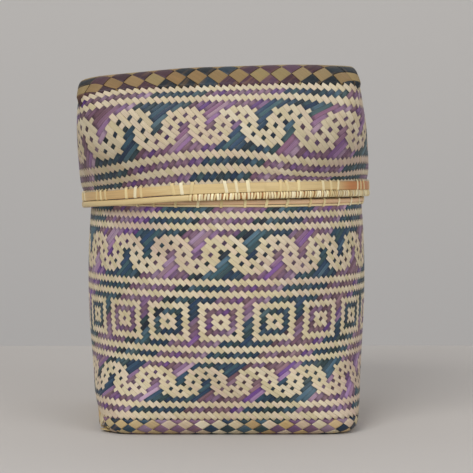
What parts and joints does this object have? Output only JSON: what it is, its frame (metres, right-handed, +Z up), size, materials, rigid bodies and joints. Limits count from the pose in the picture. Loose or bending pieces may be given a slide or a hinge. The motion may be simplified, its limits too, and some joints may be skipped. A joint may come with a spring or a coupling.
{
  "type": "woven bamboo box",
  "caption": "Plaited bamboo box with a square base, a round mouth and a lift-off lid with a square, pillowed top, for keeping small things in.",
  "frame": {"origin": "middle of the base, on the surface the box stands on", "axes": "+Z up through the lid, -Y towards the front as pictured, +X to the right"},
  "size_m": [0.2091, 0.2091, 0.2524],
  "materials": {
    "plaited_bamboo": "bamboo strips, natural one way, dyed purple and teal the other",
    "plain_bamboo": "natural bamboo strips, matt",
    "straw_bamboo": "split bamboo with its smooth skin outwards",
    "brown_rattan": "half-round rattan, red-brown, slightly glossy",
    "pale_rattan": "thin peeled rattan strip"
  },
  "bodies": {
    "box": {"body_basket": "plaited_bamboo", "body_liner": "plain_bamboo", "rim_hoop": "brown_rattan", "rim_strip": "pale_rattan", "rim_lashing": "pale_rattan", "neck_outer_hoop": "straw_bamboo", "neck_inner_hoop": "straw_bamboo", "neck_lashing": "pale_rattan"},
    "lid": {"lid_basket": "plaited_bamboo", "lid_band": "straw_bamboo", "lid_inner_hoop": "straw_bamboo", "lid_band_lashing": "pale_rattan", "lid_edge_hoop": "straw_bamboo", "lid_edge_winding": "pale_rattan"}
  },
  "joints": [
    {"name": "lid_lift", "type": "slide", "parent": "box", "child": "lid", "axis": [0, 0, 1], "range_m": [0, 0.075]}
  ]
}
